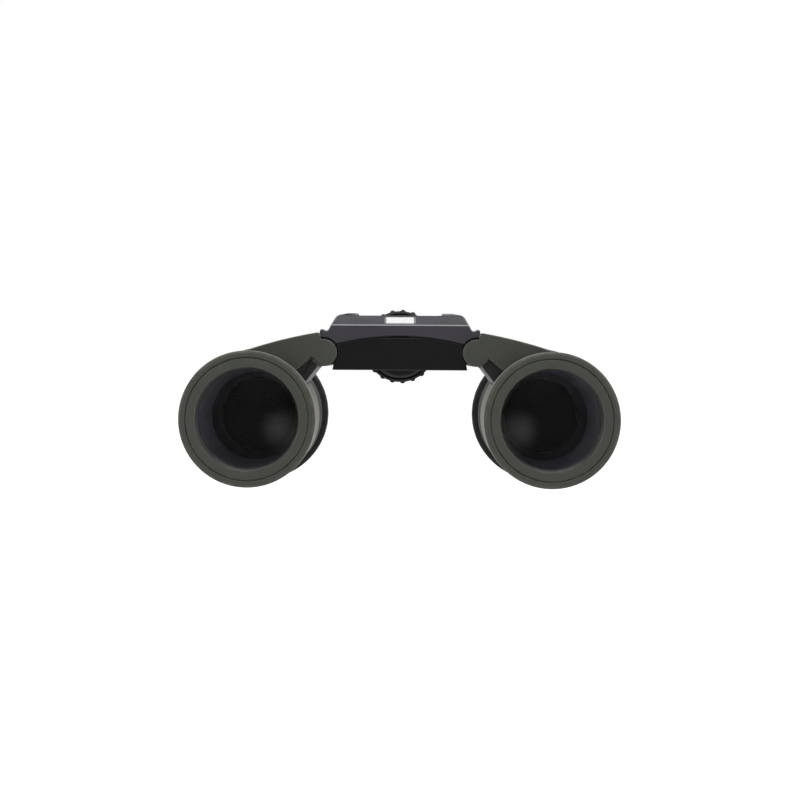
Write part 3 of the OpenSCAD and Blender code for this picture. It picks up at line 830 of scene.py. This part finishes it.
BRIDGE_BEVELS = {     # mm
    "bridge_frame": 0.2, "bridge_front_plate": 0.16, "bridge_top_cover": 0.3, "bridge_bottom_cover": 0.2,
    "nameplate": 0.18, "cover_screws": 0.06, "hinge_tubes": 0.1, "friction_washers": 0.06,
    "spindle_bushes": 0.1, "focus_yoke": 0.2,
}
HINGE_TUBE_RADIUS = 2
SEAL_FRONT = 11.55             # depth where the seals start, behind the front plate
SEAL_RADII = (3.405, 3.9)      # from a knuckle's surface to inside the frame
SEAL_ANGLES = (80, 228)        # the outer side of a hinge, seen from the front
ARCH_HALF_SPAN, ARCH_RISE = 15.9, 2.05


def add_seal(name, outline, thickness):
    piece = new_piece(name, slab(outline, SEAL_FRONT, SEAL_FRONT + thickness))
    shaded(piece.data)
    piece.data.materials.append(MATERIALS["grip"])
    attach(piece, "bridge")


def build_seals():
    """Black rubber strips inside the bridge that close the gaps round each hinge and under the arch."""
    lo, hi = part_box("hinge_tubes")
    hinge_x, hinge_z = hi.x / MM - HINGE_TUBE_RADIUS, (lo.z + hi.z) / 2 / MM
    (inner, outer), (start, end) = SEAL_RADII, SEAL_ANGLES
    half_ring = arc((hinge_x, hinge_z), inner, end, start) + arc((hinge_x, hinge_z), outer, start, end)
    add_seal("left_hinge_seal", half_ring, 1.95)
    add_seal("right_hinge_seal", [(-x, z) for x, z in half_ring], 1.95)

    half_width = 0.6
    big = (ARCH_HALF_SPAN ** 2 + ARCH_RISE ** 2) / (2 * ARCH_RISE)
    swing = math.degrees(math.asin((ARCH_HALF_SPAN - half_width) / big))
    below = (0, hinge_z + 2 * ARCH_RISE - big)
    arch = arc(below, big - half_width, 90 + swing, 90 - swing)
    add_seal("arch_seal", arch + arc(below, big + half_width, 90 - swing, 90 + swing), 0.65)


def build_bridge():
    for node, bevel in BRIDGE_BEVELS.items():
        softened(node, bevel)
    build_seals()
    axis = middle("focus_wheel_core")
    stand_in("focus_wheel_core", wheel_core("focus_wheel_core", axis), "faced")
    stand_in("focus_wheel_grip", wheel_grip("focus_wheel_grip", axis), "ribbed")
    stand_in("focus_spindle", focus_spindle("focus_spindle", axis), "threaded")


# ---------------------------------------------------------------- stage

def studio_white():
    """Matt white that shines by itself, so that it needs no light."""
    s = Shader("studio_floor")
    s.set(Base_Color=s.blend(s.patches(3, 2), (0.24, 0.24, 0.24, 1), (0.26, 0.26, 0.26, 1)), Roughness=0.9)
    s.set(Emission_Color=(1, 1, 1, 1), Emission_Strength=0.9)
    return s.material


def build_floor():
    """A floor just below the lowest point that a barrel reaches as it folds. Only the camera sees it,
    because the world below the horizon gives the floor's light."""
    half, height = 6.0, -9 * MM
    corners = [(-half, -half, height), (half, -half, height), (half, half, height), (-half, half, height)]
    mesh = bpy.data.meshes.new("floor")
    mesh.from_pydata(corners, [], [(0, 1, 2, 3)])
    mesh.materials.append(studio_white())
    floor = new_piece("studio_floor", mesh)
    for ray in ("diffuse", "glossy", "transmission", "shadow"):
        setattr(floor, f"visible_{ray}", False)


def glow(w, direction, side):
    """A soft bright patch of the studio, in front of the object and to one side."""
    turn, rise, reach, brightness = math.radians(28), math.radians(8), math.radians(13), 3.0
    centre = (side * math.sin(turn) * math.cos(rise), -math.cos(turn) * math.cos(rise), math.sin(rise))
    towards = w.vector_math("DOT_PRODUCT", direction, centre)["Value"]
    return w.stretch(towards, math.cos(reach), 1.0, 0.0, brightness, "SMOOTHSTEP")


def build_world():
    """White to the eye. As light, it is bright behind and below the object and dim on the camera's side."""
    world = bpy.data.worlds.new("studio")
    world.use_nodes = True
    scene.world = world
    world.node_tree.nodes.clear()
    w = Nodes(world.node_tree)
    direction = w.add("ShaderNodeTexCoord").outputs["Generated"]
    split = w.add("ShaderNodeSeparateXYZ", Vector=direction).outputs
    behind = w.stretch(split["Y"], -0.75, 0.25, 0.22, 1.0, "SMOOTHSTEP")
    below = w.stretch(split["Z"], 0.01, -0.03)
    strength = w.math("MAXIMUM", behind, below)
    for side in (-1, 1):
        strength = w.math("ADD", strength, glow(w, direction, side))
    lighting = w.add("ShaderNodeBackground", Color=(1, 1, 1, 1), Strength=strength).outputs[0]
    seen = w.add("ShaderNodeBackground", Color=(1, 1, 1, 1), Strength=1.0).outputs[0]
    is_camera = w.add("ShaderNodeLightPath").outputs["Is Camera Ray"]
    w.add("ShaderNodeOutputWorld", Surface=w.mix_shaders(is_camera, lighting, seen))


def soft_box(name, place, width, height, watts):
    """A rectangular lamp that looks at the middle of the object."""
    light = bpy.data.lights.new(name, "AREA")
    light.shape = "RECTANGLE"
    light.size, light.size_y = width, height
    light.energy = watts
    box = bpy.data.objects.new(name, light)
    box.location = place
    box.rotation_euler = (Vector((0, 0, 20 * MM)) - Vector(place)).to_track_quat("-Z", "Y").to_euler()
    scene.collection.objects.link(box)


def build_lights():
    soft_box("overhead_soft_box", (0, -0.4, 0.75), 0.9, 0.5, 5.0)
    soft_box("left_soft_box", (-0.9, -0.45, 0.35), 0.6, 0.6, 2.2)
    soft_box("right_soft_box", (0.9, -0.45, 0.35), 0.6, 0.6, 2.2)


def build_camera():
    """Nearly level with the barrels, about 0.75 m in front of them."""
    away, roll = 0.75, math.radians(0.3)
    eye = Vector((1.32 * MM, FRONT_Y - away, 33.04 * MM))
    target = Vector((0.1 * MM, FRONT_Y, 22.75 * MM))
    data = bpy.data.cameras.new("camera")
    data.lens = 137.8
    data.sensor_width = 36
    data.clip_start, data.clip_end = 0.01, 50
    camera = bpy.data.objects.new("camera", data)
    camera.location = eye
    aim = (target - eye).to_track_quat("-Z", "Y").to_matrix().to_4x4()
    camera.rotation_euler = (aim @ Matrix.Rotation(roll, 4, "Z")).to_euler()
    scene.collection.objects.link(camera)
    scene.camera = camera


build_camera()
for side in SIDES:
    build_barrel(side)
build_bridge()
build_floor()
build_world()
build_lights()
scene.view_settings.view_transform = "Standard"

bpy.context.view_layer.update()
